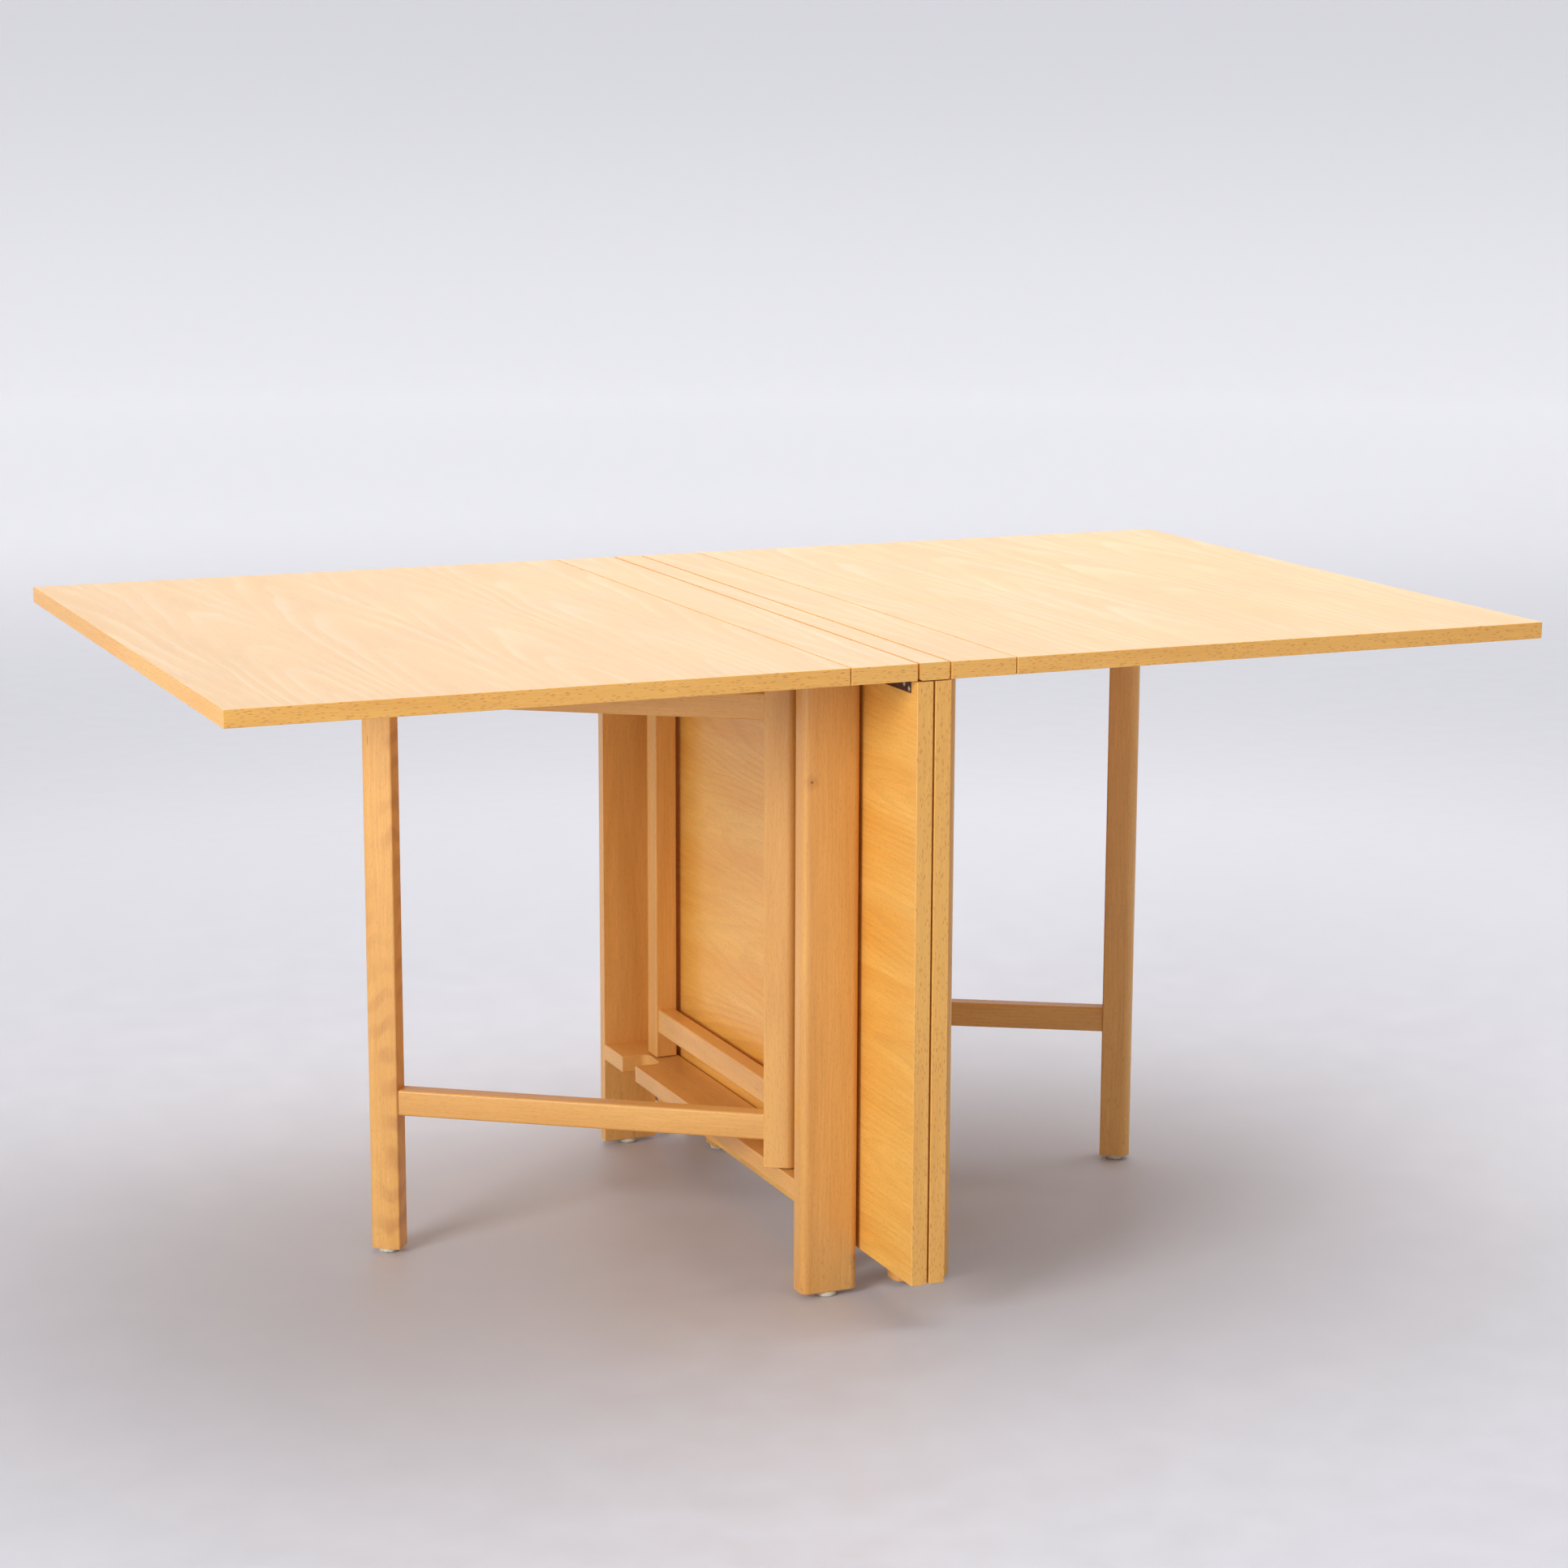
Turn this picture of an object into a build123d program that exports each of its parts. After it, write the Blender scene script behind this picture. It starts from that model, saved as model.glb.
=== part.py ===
"""Gateleg table in lacquered beech: two narrow half tables that stand side by side.

Each half has a frame, a narrow top, an outer leaf held up by an outer gate, and an
inner leaf that hangs between the halves beside an inner gate. A loose strip fills the
gap between the two narrow tops. The right half is the left half turned half way round.

X runs along the table, Y across it and Z up. The origin is on the floor under the
middle of the table. Lengths are in millimetres and angles in degrees.
"""
from build123d import *
import os

# Tops
TOP_HEIGHT = 720.0
TOP_DEPTH = 900.0
PANEL = 18.5                # thickness of every leaf and narrow top
ARRIS = 1.0                 # softened edges of the boards
TABLE_HALF_LENGTH = 746.5
NARROW_TOP_OUTER = 94.0     # from the middle of the table to the outer seam
NARROW_TOP_INNER = 19.0     # from the middle of the table to the strip's gap
OUTER_SEAM = 1.0
STRIP_HALF_WIDTH = 17.0
STRIP_THICKNESS = 18.3
STRIP_LOWER_ROUND = 3.5
INNER_LEAF_FACE = 19.6      # from the middle of the table to the hanging leaf's outer face
INNER_LEAF_LENGTH = 651.5
INNER_LEAF_SEAM = 0.5       # gap to the narrow top once the leaf is raised

# Frame
FRAME_OUTER = 90.0          # frame's outer face, from the middle of the table
FRAME_INNER = 23.0
FRAME_LEG = 23.0            # leg thickness across the table
FRAME_HALF_DEPTH = 321.0
FRAME_LEG_ROUND = 9.0
FOOT_GAP = 6.0              # height of the glides
BOARD_THICKNESS = 20.0
LOWER_BOARD_TOP = 132.0
NOTCH_WIDTH = 44.0
NOTCH_DEPTH = 33.0
NOTCH_ROUND = 10.0

# Gates
GATE_THICKNESS = 27.0
POST_WIDTH = 36.0
POST_GAP = 1.5              # between a post's ends and the boards
GATE_NOSE = 10.0            # rounding of a gate's free upright edges
GATE_EDGE = 2.0
RAIL_THICKNESS = 22.0
RAIL_HEIGHT = 30.0
RAIL_ROUND = 3.0
LOWER_RAIL_BOTTOM = 163.0
UPPER_RAIL_BOTTOM = 632.0
TENON_THICKNESS = 10.0
TENON_HEIGHT = 18.0
TENON_LENGTH = 16.0
LEAF_CLEARANCE = 0.5        # between a gate leg's top and the leaf that it carries
OUTER_PIVOT = (-78.0, -250.0)
OUTER_REACH = 463.0         # from the pivot to the middle of the gate's leg
OUTER_OPEN = {"left": 54.7, "right": 59.3}   # how far each outer gate stands open
INNER_PIVOT = (-40.0, 238.0)
INNER_REACH = 479.0
PIVOT_INSET = 12.0          # from a post's free edge to its pivot
PIVOT_RADIUS = 4.0
PIVOT_IN_POST = 22.0
PIVOT_IN_BOARD = 16.0
RUNNING_CLEARANCE = 0.05

# Glides
GLIDE_RADIUS = 11.0
GLIDE_ROUND = 2.0
NAIL_RADIUS = 1.5
NAIL_LENGTH = 16.0

# Hinges
HINGE_LENGTH = 70.0
HINGE_PLACES = (-400.0, 0.0, 400.0)
PLATE_WIDTH = 15.0
PLATE_THICKNESS = 1.5
KNUCKLES = 5
KNUCKLE_RADIUS = 2.4
KNUCKLE_GAP = 0.4
GROOVE_RADIUS = 3.2
HINGE_PIN_RADIUS = 1.3
SCREW_SPOTS = ((7.5, -17.0), (11.0, -29.0), (7.5, 17.0), (11.0, 29.0))
SCREW_HEAD_RADIUS = 2.9
SCREW_HEAD_HEIGHT = 1.4
SCREW_RADIUS = 1.5
SCREW_LENGTH = 13.0
SCREW_CLEARANCE = 0.05

# Dowels and the screws that hold each narrow top
DOWEL_RADIUS = 4.0
DOWEL_IN_LEG = 14.0
DOWEL_IN_BOARD = 20.0
DOWEL_INSET = 16.0          # from the frame's faces to the dowels' centres
STRIP_DOWEL_PLACES = (-330.0, 0.0, 330.0)
STRIP_DOWEL_REACH = 12.0
STRIP_DOWEL_CLEARANCE = 0.1
TOP_SCREW_PLACES = (-140.0, 140.0)
TOP_SCREW_HEAD_RADIUS = 4.0
TOP_SCREW_HEAD_HEIGHT = 3.0
TOP_SCREW_RADIUS = 2.0
TOP_SCREW_LENGTH = 32.0

# Worked out from the above
UNDERSIDE = TOP_HEIGHT - PANEL
OUTER_HINGE_X = -(NARROW_TOP_OUTER + OUTER_SEAM / 2)
INNER_LEAF_TOP = UNDERSIDE - (INNER_LEAF_FACE - NARROW_TOP_INNER + INNER_LEAF_SEAM)
LEG_INNER_Y = FRAME_HALF_DEPTH - FRAME_LEG
FRAME_MIDDLE = -(FRAME_OUTER + FRAME_INNER) / 2
LOWER_BOARD_MIDDLE = LOWER_BOARD_TOP - BOARD_THICKNESS / 2
UPPER_BOARD_MIDDLE = UNDERSIDE - BOARD_THICKNESS / 2
POST_BOTTOM = LOWER_BOARD_TOP + POST_GAP
POST_TOP = UNDERSIDE - BOARD_THICKNESS - POST_GAP
GATE_LEG_TOP = UNDERSIDE - LEAF_CLEARANCE
RAIL_START = POST_WIDTH - PIVOT_INSET   # from a gate's pivot to its rails' shoulders


def block(x, y, z):
    """A box from its (low, high) limits along X, Y and Z."""
    middle = [(low + high) / 2 for low, high in (x, y, z)]
    return Pos(*middle) * Box(x[1] - x[0], y[1] - y[0], z[1] - z[0])


def rod(radius, start, length, axis=Axis.Z):
    """A cylinder that starts at a point and runs along +X, +Y or +Z."""
    turn = {"X": Rot(0, 90, 0), "Y": Rot(-90, 0, 0), "Z": Rot(0, 0, 0)}
    key = "XYZ"[[axis.direction.X, axis.direction.Y, axis.direction.Z].index(1)]
    align = (Align.CENTER, Align.CENTER, Align.MIN)
    return Pos(*start) * turn[key] * Cylinder(radius, length, align=align)


def soft_board(x, y, z):
    """A board with every edge softened."""
    board = block(x, y, z)
    return fillet(board.edges(), ARRIS)


# Hinges. A hinge lies with its pin along Y through the origin. A plate runs from the
# pin along +X and is let into the wood above it.


def hinge_screw(spot, clearance=0.0):
    """A countersunk screw, head down, at a spot of the plate."""
    head = Cone(
        SCREW_HEAD_RADIUS + clearance,
        SCREW_RADIUS + clearance,
        SCREW_HEAD_HEIGHT,
        align=(Align.CENTER, Align.CENTER, Align.MIN),
    )
    shank = rod(SCREW_RADIUS + clearance, (0, 0, SCREW_HEAD_HEIGHT), SCREW_LENGTH)
    return Pos(spot[0], spot[1], 0) * (head + shank)


def hinge_plate(knuckles, bore):
    """A plate with its own knuckles, numbered from one end of the pin."""
    half = HINGE_LENGTH / 2
    plate = block((GROOVE_RADIUS, PLATE_WIDTH), (-half, half), (0, PLATE_THICKNESS))
    pitch = HINGE_LENGTH / KNUCKLES
    width = pitch - KNUCKLE_GAP
    for number in knuckles:
        low = -half + number * pitch + KNUCKLE_GAP / 2
        plate += block((0, GROOVE_RADIUS), (low, low + width), (0, PLATE_THICKNESS))
        plate += rod(KNUCKLE_RADIUS, (0, low, 0), width, Axis.Y)
    plate -= rod(bore, (0, -HINGE_LENGTH, 0), 2 * HINGE_LENGTH, Axis.Y)
    for spot in SCREW_SPOTS:
        plate -= hinge_screw(spot, SCREW_CLEARANCE)
    return plate


def fixed_plate():
    """The plate on the narrow top, whose knuckles hold the pin."""
    return hinge_plate(range(0, KNUCKLES, 2), HINGE_PIN_RADIUS)


def swinging_plate():
    """The plate on a leaf, whose knuckles turn on the pin."""
    return hinge_plate(range(1, KNUCKLES, 2), HINGE_PIN_RADIUS + RUNNING_CLEARANCE)


def hinge_screws():
    return [hinge_screw(spot) for spot in SCREW_SPOTS]


def hinge_seat():
    """The wood that is cut away for a plate, its knuckles and its screws."""
    half = HINGE_LENGTH / 2
    seat = block((0, PLATE_WIDTH), (-half, half), (-ARRIS, PLATE_THICKNESS))
    seat += rod(GROOVE_RADIUS, (0, -half, 0), HINGE_LENGTH, Axis.Y)
    for spot in SCREW_SPOTS:
        seat += hinge_screw(spot, SCREW_CLEARANCE)
    return seat


def outer_leaf_side(place):
    return Pos(OUTER_HINGE_X, place, UNDERSIDE) * Rot(0, 0, 180)


def outer_fixed_side(place):
    return Pos(OUTER_HINGE_X, place, UNDERSIDE)


def inner_fixed_side(place):
    return Pos(-INNER_LEAF_FACE, place, UNDERSIDE) * Rot(0, 0, 180)


def inner_leaf_side(place):
    return Pos(-INNER_LEAF_FACE, place, UNDERSIDE) * Rot(0, 90, 0)


def along_hinges(sides, make):
    """One shape for each hinge and side, or several where make gives a list."""
    shapes = []
    for side in sides:
        for place in HINGE_PLACES:
            made = make()
            made = made if isinstance(made, list) else [made]
            shapes += [side(place) * shape for shape in made]
    return shapes


def cut_seats(board, sides):
    for seat in along_hinges(sides, hinge_seat):
        board -= seat
    return board


# Tops


def outer_leaf():
    inner_edge = -(NARROW_TOP_OUTER + OUTER_SEAM)
    half = TOP_DEPTH / 2
    board = soft_board((-TABLE_HALF_LENGTH, inner_edge), (-half, half), (UNDERSIDE, TOP_HEIGHT))
    return cut_seats(board, [outer_leaf_side])


def narrow_top():
    half = TOP_DEPTH / 2
    board = soft_board((-NARROW_TOP_OUTER, -NARROW_TOP_INNER), (-half, half), (UNDERSIDE, TOP_HEIGHT))
    board = cut_seats(board, [outer_fixed_side, inner_fixed_side])
    for hole in strip_dowels(STRIP_DOWEL_CLEARANCE):
        board -= hole
    for screw in top_screws():
        board -= screw
    return board


def inner_leaf():
    half = TOP_DEPTH / 2
    inner_face = PANEL - INNER_LEAF_FACE
    board = soft_board(
        (-INNER_LEAF_FACE, inner_face),
        (-half, half),
        (INNER_LEAF_TOP - INNER_LEAF_LENGTH, INNER_LEAF_TOP),
    )
    return cut_seats(board, [inner_leaf_side])


def centre_strip():
    half = TOP_DEPTH / 2
    low = TOP_HEIGHT - STRIP_THICKNESS
    strip = block((-STRIP_HALF_WIDTH, STRIP_HALF_WIDTH), (-half, half), (low, TOP_HEIGHT))
    long_edges = strip.edges().filter_by(Axis.Y).sort_by(Axis.Z)
    strip = fillet(long_edges[:2], STRIP_LOWER_ROUND)
    top_edges = strip.edges().filter_by(Axis.Y).sort_by(Axis.Z)[-2:]
    strip = fillet(top_edges, ARRIS)
    for dowel in strip_dowels():
        strip -= dowel
    return strip


def strip_dowels(clearance=0.0):
    """Dowels through the strip that enter the edge of each narrow top."""
    reach = NARROW_TOP_INNER + STRIP_DOWEL_REACH + 10 * clearance
    height = TOP_HEIGHT - PANEL / 2
    radius = DOWEL_RADIUS + clearance
    return [rod(radius, (-reach, y, height), 2 * reach, Axis.X) for y in STRIP_DOWEL_PLACES]


# Frame


def frame_leg(end):
    """A frame leg at the end of the frame where Y has the sign of end."""
    y = sorted((end * LEG_INNER_Y, end * FRAME_HALF_DEPTH))
    leg = block((-FRAME_OUTER, -FRAME_INNER), y, (FOOT_GAP, UNDERSIDE))
    upright = leg.edges().filter_by(Axis.Z).sort_by(Axis.Y)
    outer = upright[-2:] if end > 0 else upright[:2]
    leg = fillet(outer, FRAME_LEG_ROUND)
    leg = chamfer(leg.faces().sort_by(Axis.Z)[0].edges(), ARRIS)
    for dowel in frame_dowels():
        leg -= dowel
    return leg - glide_nail(FRAME_MIDDLE, end * (LEG_INNER_Y + FRAME_LEG / 2))


def notched_board(middle):
    """A board between the legs, notched for the legs of both closed gates."""
    board = block(
        (-FRAME_OUTER, -FRAME_INNER),
        (-LEG_INNER_Y, LEG_INNER_Y),
        (middle - BOARD_THICKNESS / 2, middle + BOARD_THICKNESS / 2),
    )
    outer_y = OUTER_PIVOT[1] + OUTER_REACH
    inner_y = INNER_PIVOT[1] - INNER_REACH
    for edge, y in ((-FRAME_OUTER, outer_y), (-FRAME_INNER, inner_y)):
        notch = Box(2 * NOTCH_DEPTH, NOTCH_WIDTH, 2 * BOARD_THICKNESS)
        notch = fillet(notch.edges().filter_by(Axis.Z), NOTCH_ROUND)
        board -= Pos(edge, y, middle) * notch
    long_edges = board.edges().filter_by(Axis.Y)
    board = fillet(long_edges, ARRIS)
    for dowel in frame_dowels():
        board -= dowel
    for pivot in (OUTER_PIVOT, INNER_PIVOT):
        for pin in pivot_pins(pivot):
            board -= pin
    return board


def lower_board():
    return notched_board(LOWER_BOARD_MIDDLE)


def upper_board():
    board = notched_board(UPPER_BOARD_MIDDLE)
    for screw in top_screws():
        board -= screw
    return board


def frame_dowels():
    dowels = []
    for z in (LOWER_BOARD_MIDDLE, UPPER_BOARD_MIDDLE):
        for x in (-FRAME_OUTER + DOWEL_INSET, -FRAME_INNER - DOWEL_INSET):
            length = DOWEL_IN_LEG + DOWEL_IN_BOARD
            dowels.append(rod(DOWEL_RADIUS, (x, -LEG_INNER_Y - DOWEL_IN_LEG, z), length, Axis.Y))
            dowels.append(rod(DOWEL_RADIUS, (x, LEG_INNER_Y - DOWEL_IN_BOARD, z), length, Axis.Y))
    return dowels


def top_screws():
    """Screws that come up through the upper board into the narrow top."""
    bottom = UNDERSIDE - BOARD_THICKNESS
    align = (Align.CENTER, Align.CENTER, Align.MIN)
    head = Cone(TOP_SCREW_HEAD_RADIUS, TOP_SCREW_RADIUS, TOP_SCREW_HEAD_HEIGHT, align=align)
    screw = head + rod(TOP_SCREW_RADIUS, (0, 0, 0), TOP_SCREW_LENGTH)
    return [Pos(FRAME_MIDDLE, y, bottom) * screw for y in TOP_SCREW_PLACES]


# Gates. A gate is drawn with its pivot on the Z axis and its leg along +Y.


def round_uprights(piece, outer_first):
    """Round the two upright edges at the free end well, and the other two a little."""
    upright = piece.edges().filter_by(Axis.Z).sort_by(Axis.Y)
    free = upright[:2] if outer_first else upright[-2:]
    piece = fillet(free, GATE_NOSE)
    near = piece.edges().filter_by(Axis.Z).sort_by(Axis.Y)
    near = near[-2:] if outer_first else near[:2]
    return fillet(near, GATE_EDGE)


def gate_post(reach):
    half = GATE_THICKNESS / 2
    post = block((-half, half), (-PIVOT_INSET, RAIL_START), (POST_BOTTOM, POST_TOP))
    post = round_uprights(post, outer_first=True)
    radius = PIVOT_RADIUS + RUNNING_CLEARANCE
    depth = PIVOT_IN_POST + ARRIS
    post -= rod(radius, (0, 0, POST_BOTTOM), depth)
    post -= rod(radius, (0, 0, POST_TOP - depth), depth)
    for bottom in (LOWER_RAIL_BOTTOM, UPPER_RAIL_BOTTOM):
        post -= tenons(reach, bottom)
    return post


def gate_leg(reach):
    half = GATE_THICKNESS / 2
    y = (reach - POST_WIDTH / 2, reach + POST_WIDTH / 2)
    leg = block((-half, half), y, (FOOT_GAP, GATE_LEG_TOP))
    leg = round_uprights(leg, outer_first=False)
    for bottom in (LOWER_RAIL_BOTTOM, UPPER_RAIL_BOTTOM):
        leg -= tenons(reach, bottom)
    return leg - glide_nail(0, reach)


def tenons(reach, bottom):
    """One bar that gives the tenons at both ends of a rail."""
    half = TENON_THICKNESS / 2
    shoulder = (RAIL_HEIGHT - TENON_HEIGHT) / 2
    y = (RAIL_START - TENON_LENGTH, reach - POST_WIDTH / 2 + TENON_LENGTH)
    z = (bottom + shoulder, bottom + RAIL_HEIGHT - shoulder)
    return block((-half, half), y, z)


def gate_rail(reach, bottom):
    half = RAIL_THICKNESS / 2
    y = (RAIL_START, reach - POST_WIDTH / 2)
    rail = block((-half, half), y, (bottom, bottom + RAIL_HEIGHT))
    rail = fillet(rail.edges().filter_by(Axis.Y), RAIL_ROUND)
    return rail + tenons(reach, bottom)


def pivot_pins(pivot):
    """The steel pins on which a gate turns, fixed in the lower and the upper board."""
    length = PIVOT_IN_BOARD + POST_GAP + PIVOT_IN_POST
    low = LOWER_BOARD_TOP - PIVOT_IN_BOARD
    high = POST_TOP - PIVOT_IN_POST
    return [rod(PIVOT_RADIUS, (pivot[0], pivot[1], z), length) for z in (low, high)]


# Glides


def glide_nail(x, y):
    return rod(NAIL_RADIUS, (x, y, 0), FOOT_GAP + NAIL_LENGTH)


def glide(x, y):
    """A round plastic foot with the nail that holds it, made as one piece."""
    foot = rod(GLIDE_RADIUS, (x, y, 0), FOOT_GAP)
    foot = fillet(foot.edges().sort_by(Axis.Z)[:1], GLIDE_ROUND)
    return foot + glide_nail(x, y)


def gate_pieces(name, pivot, reach, turn):
    """A gate's pieces, turned about its pivot from lying along +Y."""
    place = Pos(pivot[0], pivot[1], 0) * Rot(0, 0, turn)
    return {
        f"{name}_gate_post": [place * gate_post(reach)],
        f"{name}_gate_leg": [place * gate_leg(reach)],
        f"{name}_gate_upper_rail": [place * gate_rail(reach, UPPER_RAIL_BOTTOM)],
        f"{name}_gate_lower_rail": [place * gate_rail(reach, LOWER_RAIL_BOTTOM)],
        f"{name}_gate_glide": [place * glide(0, reach)],
        f"{name}_gate_pivot_pins": pivot_pins(pivot),
    }


def half_table(near, far, outer_open):
    """Every piece of the left half. near and far name its legs at -Y and +Y."""
    pin_sides = [outer_fixed_side, inner_fixed_side]
    middle = LEG_INNER_Y + FRAME_LEG / 2
    pieces = {
        "outer_leaf": [outer_leaf()],
        "narrow_top": [narrow_top()],
        "inner_leaf": [inner_leaf()],
        f"{near}_leg": [frame_leg(-1)],
        f"{far}_leg": [frame_leg(1)],
        "lower_board": [lower_board()],
        "upper_board": [upper_board()],
        "frame_dowels": frame_dowels(),
        "top_screws": top_screws(),
        "frame_glides": [glide(FRAME_MIDDLE, y) for y in (-middle, middle)],
        "outer_leaf_hinge_plates": along_hinges([outer_leaf_side], swinging_plate),
        "inner_leaf_hinge_plates": along_hinges([inner_leaf_side], swinging_plate),
        "narrow_top_hinge_plates": along_hinges(pin_sides, fixed_plate),
        "hinge_pins": along_hinges(pin_sides, hinge_pin),
        "outer_leaf_hinge_screws": along_hinges([outer_leaf_side], hinge_screws),
        "inner_leaf_hinge_screws": along_hinges([inner_leaf_side], hinge_screws),
        "narrow_top_hinge_screws": along_hinges(pin_sides, hinge_screws),
    }
    pieces |= gate_pieces("outer", OUTER_PIVOT, OUTER_REACH, outer_open)
    pieces |= gate_pieces("inner", INNER_PIVOT, INNER_REACH, 180)
    return pieces


def hinge_pin():
    return rod(HINGE_PIN_RADIUS, (0, -HINGE_LENGTH / 2, 0), HINGE_LENGTH, Axis.Y)


def write(name, shapes):
    """Write one node: a single solid, or a group of separate solids."""
    solids = [solid for shape in shapes for solid in shape.solids()]
    whole = solids[0] if len(solids) == 1 else Compound(children=solids)
    whole.label = name
    export_step(whole, f"parts/{name}.step")


def main():
    os.makedirs("parts", exist_ok=True)
    for side, turn, near, far in (("left", 0, "front", "back"), ("right", 180, "back", "front")):
        for name, shapes in half_table(near, far, OUTER_OPEN[side]).items():
            write(f"{side}_{name}", [Rot(0, 0, turn) * shape for shape in shapes])
    write("centre_strip", [centre_strip()])
    write("strip_dowels", strip_dowels())


main()
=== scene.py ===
# A gateleg table in lacquered beech, shown in a plain studio. Lengths are in metres.

import itertools
import math
import random

import bmesh
import bpy
from mathutils import Matrix, Vector


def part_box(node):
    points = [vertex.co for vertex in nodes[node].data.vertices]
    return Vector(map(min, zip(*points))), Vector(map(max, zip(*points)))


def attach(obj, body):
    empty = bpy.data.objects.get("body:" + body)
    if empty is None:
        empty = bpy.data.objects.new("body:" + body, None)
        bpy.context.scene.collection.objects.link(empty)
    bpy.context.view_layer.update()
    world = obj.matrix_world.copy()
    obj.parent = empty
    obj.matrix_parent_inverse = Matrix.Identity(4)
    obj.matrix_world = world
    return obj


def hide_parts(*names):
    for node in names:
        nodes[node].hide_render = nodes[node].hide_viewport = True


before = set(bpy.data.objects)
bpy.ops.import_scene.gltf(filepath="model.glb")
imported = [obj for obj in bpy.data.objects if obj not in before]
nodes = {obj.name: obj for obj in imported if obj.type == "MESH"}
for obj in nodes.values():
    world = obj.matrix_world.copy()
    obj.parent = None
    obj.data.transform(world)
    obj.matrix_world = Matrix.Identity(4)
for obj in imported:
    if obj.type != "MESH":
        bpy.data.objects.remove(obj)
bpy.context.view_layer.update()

SIDES = ("left", "right")
ALONG = Vector((1, 0, 0))       # along the table
ACROSS = Vector((0, 1, 0))      # across it, away from the camera
UP = Vector((0, 0, 1))


# ---- Node trees ----


def srgb(red, green, blue):
    """A linear colour from the 0 to 255 values of a screen colour."""
    channels = [c / 255 for c in (red, green, blue)]
    linear = [c / 12.92 if c <= 0.04045 else ((c + 0.055) / 1.055) ** 2.4 for c in channels]
    return (*linear, 1.0)


class Finish:
    """One material, with a short call for each kind of node that the finishes use."""

    def __init__(self, name, **sockets):
        self.material = bpy.data.materials.new(name)
        self.material.use_nodes = True
        self.tree = self.material.node_tree
        self.shader = self.tree.nodes["Principled BSDF"]
        for socket, value in sockets.items():
            self.shader.inputs[socket.replace("_", " ")].default_value = value
        self.place = self.add("ShaderNodeTexCoord").outputs["Object"]

    def add(self, kind, **settings):
        node = self.tree.nodes.new(kind)
        for name, value in settings.items():
            setattr(node, name, value)
        return node

    def feed(self, socket, value):
        """Links a value that comes from a node, or sets one that is the same all over."""
        if isinstance(value, bpy.types.NodeSocket):
            self.tree.links.new(value, socket)
        else:
            socket.default_value = value

    def math(self, operation, *values):
        node = self.add("ShaderNodeMath", operation=operation)
        for socket, value in zip(node.inputs, values):
            self.feed(socket, value)
        return node.outputs[0]

    def vector(self, operation, *values):
        node = self.add("ShaderNodeVectorMath", operation=operation)
        for socket, value in zip(node.inputs, values):
            self.feed(socket, value)
        return node.outputs["Value" if operation in ("LENGTH", "DOT_PRODUCT", "DISTANCE") else "Vector"]

    def scaled(self, vector, factors):
        return self.vector("MULTIPLY", vector, factors)

    def parts(self, vector):
        node = self.add("ShaderNodeSeparateXYZ")
        self.feed(node.inputs[0], vector)
        return node.outputs[0], node.outputs[1], node.outputs[2]

    def whole(self, x, y, z):
        node = self.add("ShaderNodeCombineXYZ")
        for socket, value in zip(node.inputs, (x, y, z)):
            self.feed(socket, value)
        return node.outputs[0]

    def noise(self, vector, detail=2.0, roughness=0.5, output="Fac"):
        node = self.add("ShaderNodeTexNoise")
        node.inputs["Scale"].default_value = 1.0
        node.inputs["Detail"].default_value = detail
        node.inputs["Roughness"].default_value = roughness
        self.feed(node.inputs["Vector"], vector)
        return node.outputs[output]

    def spots(self, vector, near, far, share):
        """Soft spots, one in each cell of the space, kept in a share of the cells."""
        node = self.add("ShaderNodeTexVoronoi")
        node.inputs["Scale"].default_value = 1.0
        self.feed(node.inputs["Vector"], vector)
        spot = self.rise(node.outputs["Distance"], far, near)
        pick = self.parts(node.outputs["Color"])[0]
        kept = self.rise(pick, 1 - share, 1 - share * 0.6)
        return self.math("MULTIPLY", spot, kept)

    def rise(self, value, low, high, start=0.0, end=1.0):
        """A smooth step from start to end as the value goes from low to high."""
        node = self.add("ShaderNodeMapRange", interpolation_type="SMOOTHSTEP")
        for socket, number in zip(node.inputs, (value, low, high, start, end)):
            self.feed(socket, number)
        return node.outputs[0]

    def blend(self, share, first, second, mode="MIX"):
        node = self.add("ShaderNodeMix", data_type="RGBA", blend_type=mode)
        colours = [s for s in node.inputs if s.type == "RGBA"]
        self.feed(node.inputs[0], share)
        self.feed(colours[0], first)
        self.feed(colours[1], second)
        return next(s for s in node.outputs if s.type == "RGBA")

    def bump(self, height, strength, distance):
        node = self.add("ShaderNodeBump")
        node.inputs["Strength"].default_value = strength
        node.inputs["Distance"].default_value = distance
        self.feed(node.inputs["Height"], height)
        self.feed(self.shader.inputs["Normal"], node.outputs[0])

    def colour(self, value):
        self.feed(self.shader.inputs["Base Color"], value)

    def roughness(self, value):
        self.feed(self.shader.inputs["Roughness"], value)


# ---- Beech ----
#
# Wood is drawn in its own axes: X across the board, Y into it and Z along the grain.


def wood_look(pale, deep, fleck, ring, flecks, pores, pitch=None):
    """Three colours, how strongly the rings, flecks and pores show, and the pitch of a veneer's rings."""
    colours = dict(pale=srgb(*pale), deep=srgb(*deep), fleck=srgb(*fleck))
    return colours | dict(ring=ring, flecks=flecks, pores=pores, pitch=pitch)


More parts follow.
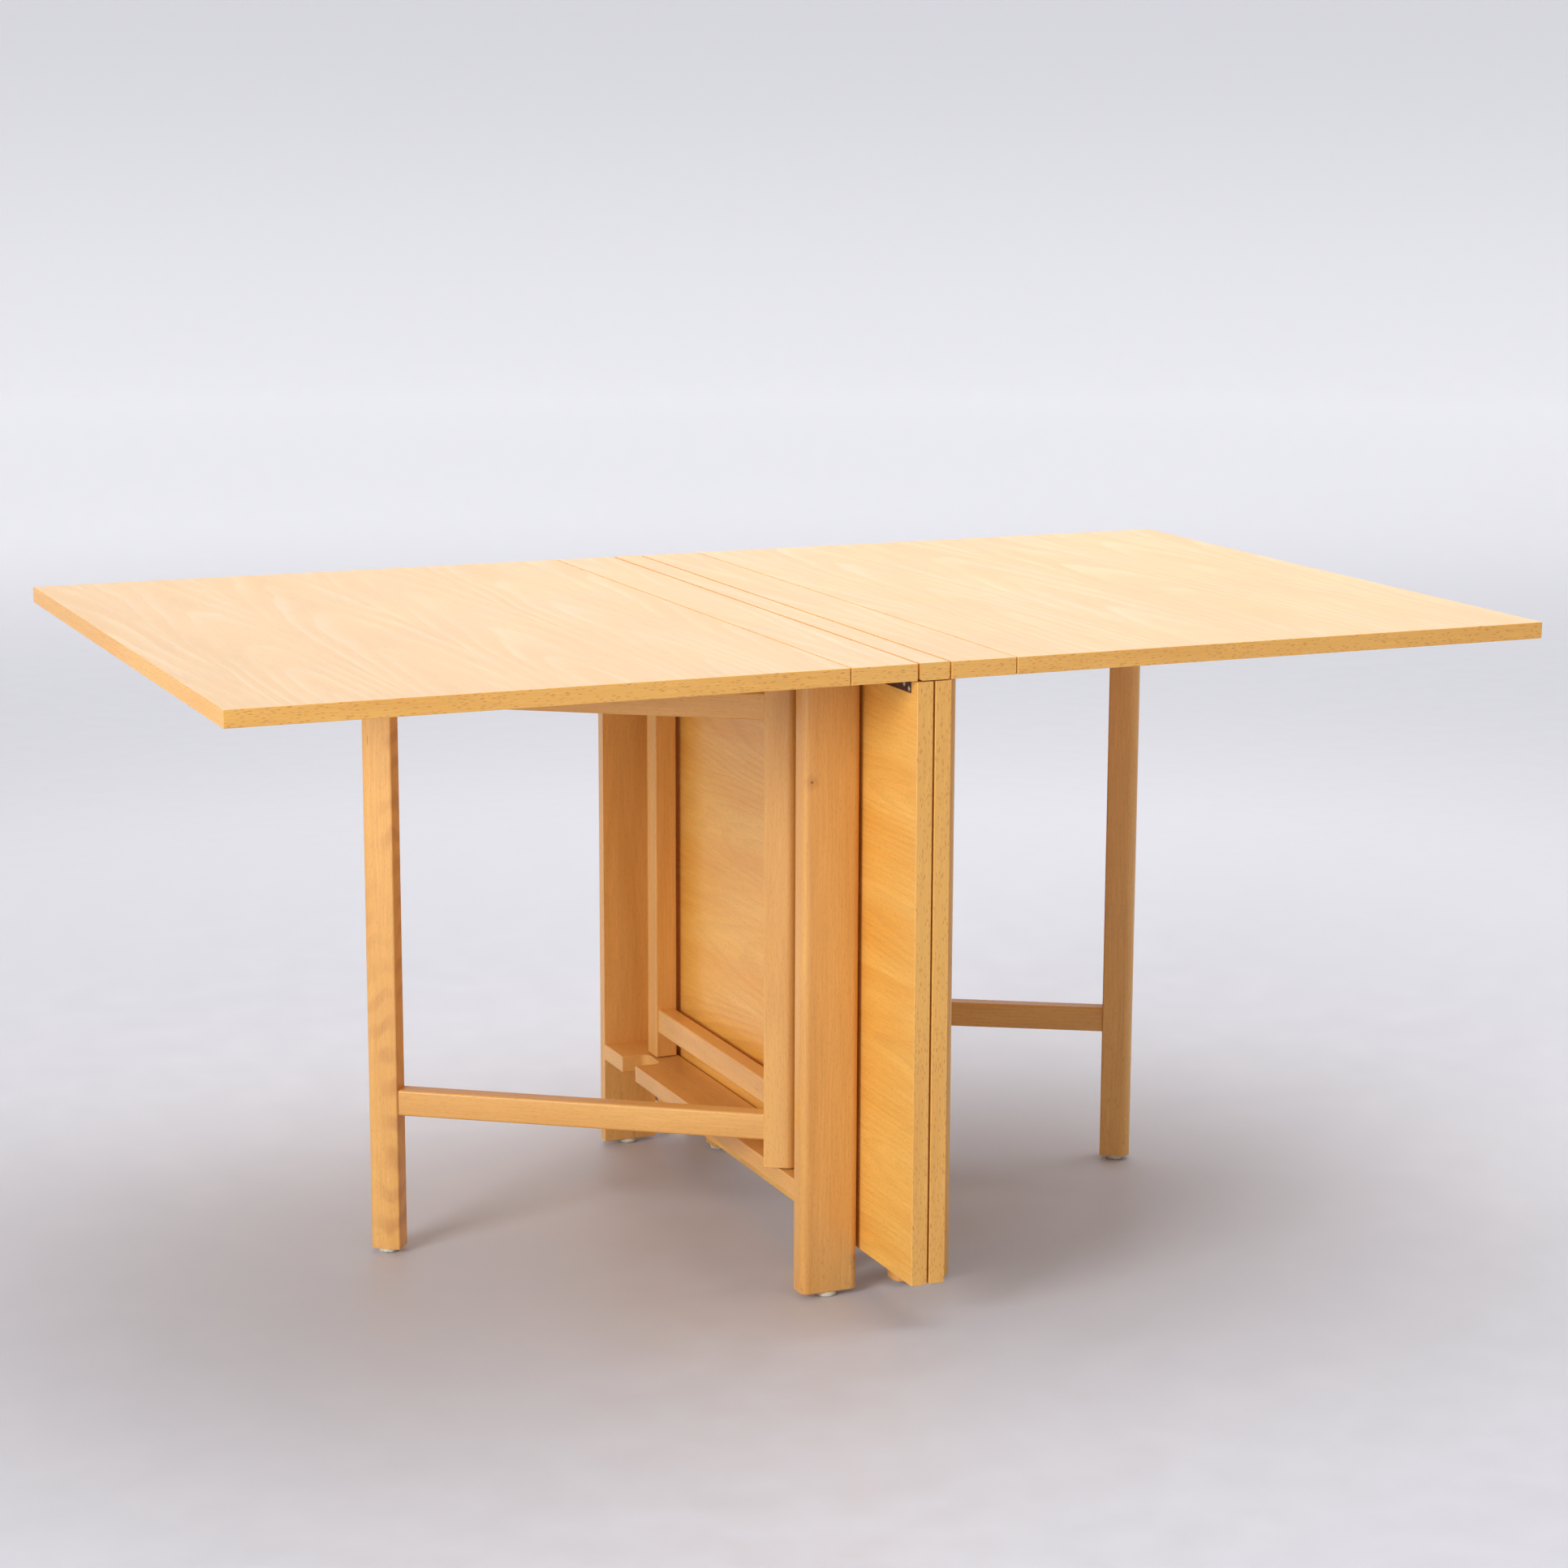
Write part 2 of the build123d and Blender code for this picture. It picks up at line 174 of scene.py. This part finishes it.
# The veneer on the leaves that face up is painted paler than the hanging inner leaves' veneer: partly
# sun-bleaching, and partly a painted highlight for the light from above and the sheen on the tops.
LIT_TOP_VENEER = wood_look((238, 198, 148), (234, 192, 138), (244, 216, 178), 0.55, 0.1, 0.0, pitch=0.013)
GOLDEN = wood_look((243, 186, 90), (236, 170, 72), (196, 128, 52), 0.24, 0.3, 0.0, pitch=0.0065)
SOLID = wood_look((236, 178, 98), (224, 162, 82), (176, 110, 50), 0.12, 0.22, 0.8)
# The lipping's beech is painted brighter and more saturated than the solid legs' beech: a painted highlight
# for the light on the leaves' rims.
LIT_LIPPING = wood_look((246, 186, 93), (238, 173, 81), (194, 120, 54), 0.1, 0.7, 0.0)
PORE = srgb(92, 48, 24)
CURL = srgb(190, 122, 62)
KNOT = srgb(84, 44, 24)
DIRT = srgb(120, 78, 48)
BARE_WOOD = srgb(246, 226, 196)

BOARD_RING_PITCH = (0.0022, 0.0036)
BOARD_SWAY = 0.02           # how far a board's rings wander
VENEER_WIDTH = 0.135        # one sheet of veneer on a leaf
VENEER_PITH = (0.0, -0.055)
VENEER_SWAY = 0.035
VENEER_SLOPE = math.radians(3.2)    # of the cut to the rings, which makes the figure's long loops
LIPPING = 0.0006            # the rounded rim of a leaf, which shows its solid lipping
LIPPING_RING_PITCH = 0.004
LIPPING_PITH = (0.01, 0.06)
LIPPING_SWAY = 0.02


def turned(grain, across):
    """The turn from a wood's own axes to the table's axes."""
    return Matrix((across, grain.cross(across), grain)).transposed().to_euler()


def wood_figure(finish, place, look, ring_pitch, pith, sway):
    """Colour, height and flecks of wood, with rings round a pith that runs along the grain."""
    # The rings wander in long sweeps, and waver a little along each fibre.
    slow = finish.noise(finish.scaled(place["seeded"], (11, 11, 2.2)), output="Color")
    drift = finish.vector("MULTIPLY_ADD", slow, (sway, sway, 0), (-sway / 2, -sway / 2, 0))
    fine = finish.noise(finish.scaled(place["seeded"], (60, 60, 9)), output="Color")
    waver = finish.vector("MULTIPLY_ADD", fine, (0.0016, 0.0016, 0), (-0.0008, -0.0008, 0))
    bent = finish.vector("ADD", finish.vector("ADD", place["local"], drift), waver)
    from_pith = finish.vector("SUBTRACT", bent, (*pith, 0))
    # Each ring darkens outwards and ends sharply, and it shows more in some places.
    radius = finish.vector("LENGTH", finish.scaled(from_pith, (1, 1, 0)))
    phase = finish.math("FRACT", finish.math("DIVIDE", radius, ring_pitch))
    late = finish.math("MULTIPLY", finish.rise(phase, 0.35, 0.9), finish.rise(phase, 1.0, 0.93))
    patchy = finish.noise(finish.scaled(place["seeded"], (14, 14, 3)))
    ring = finish.math("MULTIPLY", late, finish.rise(patchy, 0.3, 0.75, 0.15 * look["ring"], look["ring"]))

    # Broad streaks of tone, fine fibre, short flecks and long hairline pores
    tone = finish.noise(finish.scaled(place["seeded"], (24, 24, 2.5)), detail=3)
    fibre = finish.noise(finish.scaled(place["seeded"], (900, 900, 26)), detail=2)
    flecks = finish.spots(finish.scaled(place["seeded"], (700, 700, 130)), 0.15, 0.45, 0.9)
    pores = finish.spots(finish.scaled(place["seeded"], (110, 110, 7)), 0.03, 0.07, 0.14)

    colour = finish.blend(finish.rise(tone, 0.3, 0.7), look["pale"], look["deep"])
    colour = finish.blend(ring, colour, look["fleck"])
    shade = finish.rise(fibre, 0.25, 0.75, 0.93, 1.05)
    colour = finish.blend(1.0, colour, finish.whole(shade, shade, shade), "MULTIPLY")
    colour = finish.blend(finish.math("MULTIPLY", flecks, look["flecks"]), colour, look["fleck"])
    colour = finish.blend(finish.math("MULTIPLY", pores, look["pores"]), colour, PORE)
    height = finish.math("SUBTRACT", fibre, finish.math("MULTIPLY", flecks, 0.12))
    return dict(colour=colour, height=height, flecks=flecks)


def own_axes(finish, centre, grain, across, seed):
    """A piece's own place, and the same place moved to its own part of the noise."""
    mapping = finish.add("ShaderNodeMapping", vector_type="TEXTURE")
    mapping.inputs["Location"].default_value = centre
    mapping.inputs["Rotation"].default_value = turned(grain, across)
    finish.feed(mapping.inputs["Vector"], finish.place)
    draw = random.Random(seed)
    move = [draw.uniform(-3, 3) for _ in range(3)]
    local = mapping.outputs[0]
    return dict(local=local, seeded=finish.vector("ADD", local, move), draw=draw)


def lacquered(name):
    return Finish(name, IOR=1.5, Coat_Weight=0.25, Coat_Roughness=0.3, Coat_IOR=1.5)


def satin(finish, wood):
    """The lacquer's sheen: a little uneven, and duller in the flecks."""
    worn = finish.noise(finish.scaled(finish.place, (7, 7, 7)), detail=4)
    sheen = finish.rise(worn, 0.3, 0.7, 0.36, 0.46)
    finish.roughness(finish.math("MULTIPLY_ADD", wood["flecks"], 0.08, sheen))
    finish.colour(wood["colour"])
    finish.bump(wood["height"], 0.12, 0.0002)


def board_finish(name, centre, grain, across, seed, curl=0.0, knot=None, foot=None):
    """Solid beech, with its figure, and if asked a curl, a knot and a scuffed foot."""
    finish = lacquered(name)
    place = own_axes(finish, centre, grain, across, seed)
    draw = place["draw"]
    pith = (draw.uniform(-0.05, 0.05), draw.choice((-1, 1)) * draw.uniform(0.04, 0.09))
    wood = wood_figure(finish, place, SOLID, draw.uniform(*BOARD_RING_PITCH), pith, BOARD_SWAY)
    if curl:
        across_board, _, along_board = finish.parts(place["seeded"])
        wander = finish.noise(finish.scaled(place["seeded"], (18, 18, 7)), detail=2)
        lean = finish.math("MULTIPLY_ADD", across_board, 55.0, finish.math("MULTIPLY", wander, 16.0))
        wave = finish.math("SINE", finish.math("MULTIPLY_ADD", along_board, 170.0, lean))
        patch = finish.noise(finish.scaled(place["seeded"], (20, 20, 5)))
        strength = finish.rise(patch, 0.35, 0.65, 0, curl)
        share = finish.math("MULTIPLY", finish.rise(wave, -0.6, 1.0), strength)
        wood["colour"] = finish.blend(share, wood["colour"], CURL)
    if knot:
        away = finish.vector("DISTANCE", finish.place, knot)
        halo = finish.rise(away, 0.011, 0.002, 0, 0.3)
        heart = finish.rise(away, 0.0024, 0.0008, 0, 0.9)
        wood["colour"] = finish.blend(halo, wood["colour"], SOLID["fleck"])
        wood["colour"] = finish.blend(heart, wood["colour"], KNOT)
    if foot:
        height = finish.parts(finish.place)[2]
        low = finish.rise(height, foot, foot * 0.3)
        rubbed = finish.noise(finish.scaled(place["seeded"], (90, 90, 45)), detail=4, roughness=0.7)
        low_darkening = finish.math("MULTIPLY", low, finish.rise(rubbed, 0.58, 0.75, 0, 0.35))
        wood["colour"] = finish.blend(low_darkening, wood["colour"], DIRT)
        scrape = finish.noise(finish.scaled(place["seeded"], (240, 240, 60)), detail=3, roughness=0.6)
        bare = finish.math("MULTIPLY", low, finish.rise(scrape, 0.68, 0.74, 0, 0.5))
        wood["colour"] = finish.blend(bare, wood["colour"], BARE_WOOD)
    satin(finish, wood)
    return finish.material


def leaf_finish(name, look, low, high, grain, across, seed):
    """Veneered faces in sheets side by side, and a rim of solid lipping."""
    finish = lacquered(name)
    place = own_axes(finish, (low + high) / 2, grain, across, seed)
    x, y, z = finish.parts(place["local"])
    sheet = finish.math("FLOOR", finish.math("DIVIDE", x, VENEER_WIDTH))
    middle = finish.math("MULTIPLY_ADD", sheet, VENEER_WIDTH, VENEER_WIDTH / 2)
    in_sheet = finish.math("SUBTRACT", x, middle)
    depth = finish.math("MULTIPLY_ADD", z, VENEER_SLOPE, finish.math("MULTIPLY", y, 0.2))
    lie = finish.math("MULTIPLY_ADD", finish.math("SINE", finish.math("MULTIPLY", sheet, 4.3)), 0.02, depth)
    local = finish.whole(in_sheet, lie, z)
    shift = finish.whole(finish.math("MULTIPLY", sheet, 0.31), 0.0, finish.math("MULTIPLY", sheet, 0.57))
    seeded = finish.vector("ADD", place["seeded"], shift)
    sheets = dict(local=local, seeded=seeded)
    face = wood_figure(finish, sheets, look, look["pitch"], VENEER_PITH, VENEER_SWAY)

    half_across = abs((high - low).dot(across)) / 2 - LIPPING
    half_along = abs((high - low).dot(grain)) / 2 - LIPPING
    on_side = finish.math("GREATER_THAN", finish.math("ABSOLUTE", x), half_across)
    on_end = finish.math("GREATER_THAN", finish.math("ABSOLUTE", z), half_along)
    ends = finish.blend(on_end, place["seeded"], finish.whole(z, y, x))
    lipping = dict(local=ends, seeded=ends)
    rim = wood_figure(finish, lipping, LIT_LIPPING, LIPPING_RING_PITCH, LIPPING_PITH, LIPPING_SWAY)
    edge = finish.math("MAXIMUM", on_side, on_end)
    satin(finish, {key: finish.blend(edge, face[key], rim[key]) for key in face})
    return finish.material


def dress(node, material):
    """Gives a CAD piece its finish."""
    piece = nodes[node]
    piece.data.materials.clear()
    piece.data.materials.append(material)


def middle(node):
    low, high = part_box(node)
    return (low + high) / 2


FRAME_SCUFFS = 0.12          # how high the scuffs reach on a frame's leg
GATE_SCUFFS = 0.2
KNOT_PLACE = Vector((0.009, 0.001, -0.125))     # from the left front leg's outer front edge and top


def dress_board(node, grain, across, seed, slot, **marks):
    dress(node, board_finish(f"{node}_beech", middle(node), grain, across, seed, **marks))


def dress_leaf(node, look, across, seed):
    dress(node, leaf_finish(f"{node}_beech", look, *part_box(node), ACROSS, across, seed))


def dress_gate(gate, seeds):
    reach = middle(f"{gate}_leg") - middle(f"{gate}_post")
    reach.z = 0
    reach.normalize()
    dress_board(f"{gate}_post", UP, reach, next(seeds), "gate")
    curl = 0.5 if gate == "left_outer_gate" else 0.0
    dress_board(f"{gate}_leg", UP, reach, next(seeds), "gate", curl=curl, foot=GATE_SCUFFS)
    for rail in ("upper_rail", "lower_rail"):
        dress_board(f"{gate}_{rail}", reach, UP, next(seeds), "gate")


def dress_wood():
    """Every wooden piece gets its own beech, so that no two boards look the same."""
    seeds = itertools.count(12)
    for side in SIDES:
        dress_leaf(f"{side}_outer_leaf", LIT_TOP_VENEER, ALONG, next(seeds))
        dress_leaf(f"{side}_narrow_top", LIT_TOP_VENEER, ALONG, next(seeds))
        dress_leaf(f"{side}_inner_leaf", GOLDEN, UP, next(seeds))
        for leg in (f"{side}_front_leg", f"{side}_back_leg"):
            knot = None
            if leg == "left_front_leg":
                low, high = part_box(leg)
                knot = Vector((low.x, low.y, high.z)) + KNOT_PLACE
            dress_board(leg, UP, ALONG, next(seeds), "frame", knot=knot, foot=FRAME_SCUFFS)
        for board in ("lower_board", "upper_board"):
            dress_board(f"{side}_{board}", ACROSS, ALONG, next(seeds), "frame")
        for gate in ("outer_gate", "inner_gate"):
            dress_gate(f"{side}_{gate}", seeds)
        dress_board(f"{side}_frame_dowels", ACROSS, ALONG, next(seeds), "dowel")
    dress_leaf("centre_strip", LIT_TOP_VENEER, ALONG, 5)
    dress_board("strip_dowels", ALONG, UP, 6, "dowel")


# ---- Metal and plastic ----


def metal(name, colour, worn, rough, metallic=1.0):
    """Metal with cloudy tone, fine scratches and an uneven shine."""
    finish = Finish(name, Metallic=metallic, IOR=1.5)
    cloud = finish.noise(finish.scaled(finish.place, (160, 160, 160)), detail=4, roughness=0.65)
    scratch = finish.noise(finish.scaled(finish.place, (3000, 260, 3000)), detail=2)
    finish.colour(finish.blend(finish.rise(cloud, 0.35, 0.7), colour, worn))
    sheen = finish.rise(cloud, 0.3, 0.7, rough, rough + 0.12)
    finish.roughness(finish.math("MULTIPLY_ADD", scratch, 0.18, sheen))
    finish.bump(scratch, 0.1, 0.0001)
    return finish.material


def plastic():
    """Cream plastic, a little yellowed, darker in patches over its lowest 4 mm, where it meets the floor.
    """
    finish = Finish("glide_plastic", IOR=1.46)
    mottle = finish.noise(finish.scaled(finish.place, (300, 300, 300)), detail=4)
    height = finish.parts(finish.place)[2]
    patches = finish.rise(mottle, 0.35, 0.7, 0.2, 0.7)
    # Darker in patches towards the bottom, over the lowest 4 mm where the glide meets the floor.
    low_darkening = finish.math("MULTIPLY", finish.rise(height, 0.004, 0.0), patches)
    clean = finish.blend(finish.rise(mottle, 0.3, 0.7), srgb(232, 226, 208), srgb(216, 206, 180))
    finish.colour(finish.blend(low_darkening, clean, srgb(120, 112, 98)))
    finish.roughness(finish.rise(mottle, 0.3, 0.7, 0.35, 0.5))
    finish.bump(mottle, 0.15, 0.0003)
    return finish.material


# A countersunk screw's head radius and height, shank radius and whole length
HINGE_SCREW = (0.0029, 0.0014, 0.0015, 0.0144)
TOP_SCREW = (0.004, 0.003, 0.002, 0.032)
SCREWS_APART = 0.0085       # wider than any head, and less than the space between two screws
HEAD_CHAMFER = 0.00012
TIP_RADIUS = 0.2            # share of the shank's radius
CROSS_DEPTH = 0.0011
CROSS_MOUTH = (0.56, 0.15)  # the recess's reach and half width, as shares of the head's radius
CROSS_BOTTOM = (0.3, 0.09)


def screw_places(node, outward):
    """Where each screw of a CAD node has the middle of its head."""
    groups = []
    points = [v.co for v in nodes[node].data.vertices]
    level = max(p.dot(outward) for p in points)
    for point in points:
        flat = point - outward * point.dot(outward)
        near = next((g for g in groups if (g[0] - flat).length < SCREWS_APART), None)
        if near is None:
            groups.append([flat])
        else:
            near.append(flat)
    middles = [Vector([(min(c) + max(c)) / 2 for c in zip(*group)]) for group in groups]
    return [middle + outward * level for middle in middles]


def circle(shape, radius, height, steps=32):
    angles = [2 * math.pi * step / steps for step in range(steps)]
    return [shape.verts.new((radius * math.cos(a), radius * math.sin(a), height)) for a in angles]


def cross(shape, reach, half_width, height):
    """The outline of a cross: three corners for each quarter turn."""
    verts = []
    for quarter in range(4):
        turn = Matrix.Rotation(math.pi / 2 * quarter, 3, "Z")
        for x, y in ((reach, -half_width), (reach, half_width), (half_width, half_width)):
            verts.append(shape.verts.new(turn @ Vector((x, y, height))))
    return verts


def skirt(shape, first, second):
    """Faces between two closed loops of as many points."""
    for here in range(len(first)):
        there = (here + 1) % len(first)
        shape.faces.new((first[here], first[there], second[there], second[here]))


def loop_edges(shape, loop):
    return [shape.edges.get((a, b)) or shape.edges.new((a, b)) for a, b in zip(loop, loop[1:] + loop[:1])]


def add_screw(shape, place, sizes):
    """One screw with its head at the top, drawn on Z and then put in its place."""
    head_radius, head_height, shank_radius, length = sizes
    before = set(shape.verts)
    rings = [
        circle(shape, head_radius - HEAD_CHAMFER, 0.0),
        circle(shape, head_radius, -HEAD_CHAMFER),
        circle(shape, shank_radius, -head_height),
        circle(shape, shank_radius, shank_radius - length),
        circle(shape, TIP_RADIUS * shank_radius, -length),
    ]
    for lower, upper in zip(rings[1:], rings):
        skirt(shape, lower, upper)
    shape.faces.new(reversed(rings[-1]))
    mouth = cross(shape, *(share * head_radius for share in CROSS_MOUTH), 0.0)
    bottom = cross(shape, *(share * head_radius for share in CROSS_BOTTOM), -CROSS_DEPTH)
    skirt(shape, mouth, bottom)
    shape.faces.new(bottom)
    edges = loop_edges(shape, rings[0]) + loop_edges(shape, mouth)
    bmesh.ops.triangle_fill(shape, edges=edges, use_beauty=True, normal=(0, 0, 1))
    made = [v for v in shape.verts if v not in before]
    bmesh.ops.transform(shape, matrix=place, verts=made)


def cross_head_screws(node, body, outward, sizes, material, seed):
    """Screws with a cross recess that stand for a CAD node's plain ones."""
    draw = random.Random(seed)
    shape = bmesh.new()
    upright = outward.to_track_quat("Z", "Y").to_matrix().to_4x4()
    for point in screw_places(node, outward):
        spin = Matrix.Rotation(draw.uniform(0, math.pi / 2), 4, "Z")
        add_screw(shape, Matrix.Translation(point) @ upright @ spin, sizes)
    bmesh.ops.recalc_face_normals(shape, faces=shape.faces)
    mesh = bpy.data.meshes.new(f"{node}_cross_head")
    shape.to_mesh(mesh)
    shape.free()
    mesh.materials.append(material)
    screws = bpy.data.objects.new(f"{node}_cross_head", mesh)
    bpy.context.scene.collection.objects.link(screws)
    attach(screws, body)
    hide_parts(node)


def dress_hardware():
    browned = metal("browned_steel", srgb(74, 56, 48), srgb(112, 90, 76), 0.34)
    bright = metal("bright_zinc", srgb(226, 224, 222), srgb(188, 186, 184), 0.18)
    cream = plastic()
    for side in SIDES:
        facing_out = -ALONG if side == "left" else ALONG
        for seed, (name, body, outward) in enumerate((
            ("outer_leaf", "outer_leaf", -UP),
            ("inner_leaf", "inner_leaf", facing_out),
            ("narrow_top", "frame", -UP),
        )):
            dress(f"{side}_{name}_hinge_plates", browned)
            node = f"{side}_{name}_hinge_screws"
            cross_head_screws(node, f"{side}_{body}", outward, HINGE_SCREW, bright, seed)
        cross_head_screws(f"{side}_top_screws", f"{side}_frame", -UP, TOP_SCREW, bright, 9)
        dress(f"{side}_hinge_pins", browned)
        dress(f"{side}_frame_glides", cream)
        for gate in ("outer_gate", "inner_gate"):
            dress(f"{side}_{gate}_glide", cream)
            dress(f"{side}_{gate}_pivot_pins", bright)


# ---- Studio ----

CAMERA_PLACE = Vector((-1.5438, -3.6688, 1.2995))
CAMERA_YAW, CAMERA_PITCH, CAMERA_ROLL = (math.radians(a) for a in (23.135, 11.22, 0.182))
CAMERA_LENS = 80.64


def camera():
    data = bpy.data.cameras.new("camera")
    data.lens = CAMERA_LENS
    data.sensor_width = 36
    data.clip_end = 100
    eye = bpy.data.objects.new("camera", data)
    level = Matrix.Rotation(-CAMERA_YAW, 4, "Z") @ Matrix.Rotation(math.pi / 2 - CAMERA_PITCH, 4, "X")
    eye.matrix_world = Matrix.Translation(CAMERA_PLACE) @ level @ Matrix.Rotation(CAMERA_ROLL, 4, "Z")
    bpy.context.scene.collection.objects.link(eye)
    bpy.context.scene.camera = eye


FLOOR_RADIUS = 11.0
COVE_RADIUS = 3.0
COVE_STEPS = 12
WALL_HEIGHT = 7.0
TURN_STEPS = 96


def backdrop():
    """A pale floor that curves up all round into a wall, which glows a little behind the table as painted
    light. Near the table the floor is painted darker, a painted shadow.
    """
    profile = [(r, 0.0) for r in (0.0, 0.6, 1.2, 2.4, 4.8, FLOOR_RADIUS)]
    for step in range(1, COVE_STEPS + 1):
        turn = math.radians(90 * step / COVE_STEPS)
        profile.append((FLOOR_RADIUS + COVE_RADIUS * math.sin(turn), COVE_RADIUS * (1 - math.cos(turn))))
    profile.append((FLOOR_RADIUS + COVE_RADIUS, WALL_HEIGHT))
    shape = bmesh.new()
    points = [shape.verts.new((r, 0, z)) for r, z in profile]
    lines = [shape.edges.new(pair) for pair in zip(points, points[1:])]
    spin = dict(axis=(0, 0, 1), cent=(0, 0, 0), angle=2 * math.pi, steps=TURN_STEPS, use_merge=True)
    bmesh.ops.spin(shape, geom=points + lines, **spin)
    bmesh.ops.remove_doubles(shape, verts=shape.verts, dist=1e-5)
    bmesh.ops.recalc_face_normals(shape, faces=shape.faces)
    mesh = bpy.data.meshes.new("backdrop")
    shape.to_mesh(mesh)
    shape.free()
    for face in mesh.polygons:
        face.use_smooth = True
    ground = bpy.data.objects.new("backdrop", mesh)
    bpy.context.scene.collection.objects.link(ground)

    finish = Finish("pale_floor", IOR=1.45)
    away = finish.vector("LENGTH", finish.scaled(finish.place, (1, 1, 0)))
    mottle = finish.noise(finish.scaled(finish.place, (14, 14, 14)), detail=6, roughness=0.65)
    floor = finish.blend(finish.rise(mottle, 0.2, 0.8), srgb(204, 203, 208), srgb(210, 209, 214))
    # The floor is painted darker within 1 m of the table's middle and lighter again past 2.6 m: a painted
    # shadow round the table.
    finish.colour(finish.blend(finish.rise(away, 1.0, 2.6), floor, srgb(226, 225, 229)))
    # The backdrop's glow is painted light: it grows from 1.6 m out from the table, most behind the table
    # and low down, and fades towards the wall's top and towards the camera.
    finish.shader.inputs["Emission Color"].default_value = (0.97, 0.96, 1.0, 1.0)
    _, y, z = finish.parts(finish.place)
    lower = finish.rise(z, 0.0, 1.9, 1.0, 0.64)
    behind = finish.math("MULTIPLY", finish.rise(y, -2.0, 7.0, 0.06, 0.42), lower)
    glow = finish.math("MULTIPLY", finish.rise(away, 1.6, 7.0), behind)
    finish.feed(finish.shader.inputs["Emission Strength"], glow)
    finish.roughness(finish.rise(mottle, 0.3, 0.7, 0.42, 0.6))
    mesh.materials.append(finish.material)


def soft_light(name, place, towards, size, power, colour=(1, 1, 1)):
    data = bpy.data.lights.new(name, "AREA")
    data.shape = "RECTANGLE"
    data.size, data.size_y = size
    data.energy = power
    data.color = colour
    light = bpy.data.objects.new(name, data)
    light.location = place
    light.rotation_mode = "QUATERNION"
    light.rotation_quaternion = (Vector(towards) - Vector(place)).to_track_quat("-Z", "Y")
    bpy.context.scene.collection.objects.link(light)


def studio():
    backdrop()
    world = bpy.data.worlds.new("studio")
    world.use_nodes = True
    sky = world.node_tree.nodes["Background"]
    sky.inputs["Color"].default_value = (0.93, 0.95, 1.0, 1.0)
    sky.inputs["Strength"].default_value = 0.4
    bpy.context.scene.world = world
    centre = (0, 0, 0.5)
    soft_light("key", (-4.4, -2.3, 1.9), centre, (2.0, 1.6), 155)
    soft_light("front", (1.4, -5.2, 1.1), centre, (3.0, 1.6), 14)
    soft_light("overhead", (1.0, 0.5, 3.4), (0.9, 0.4, 0), (4.2, 3.2), 122)
    bpy.context.scene.view_settings.view_transform = "Standard"


dress_wood()
dress_hardware()
studio()
camera()
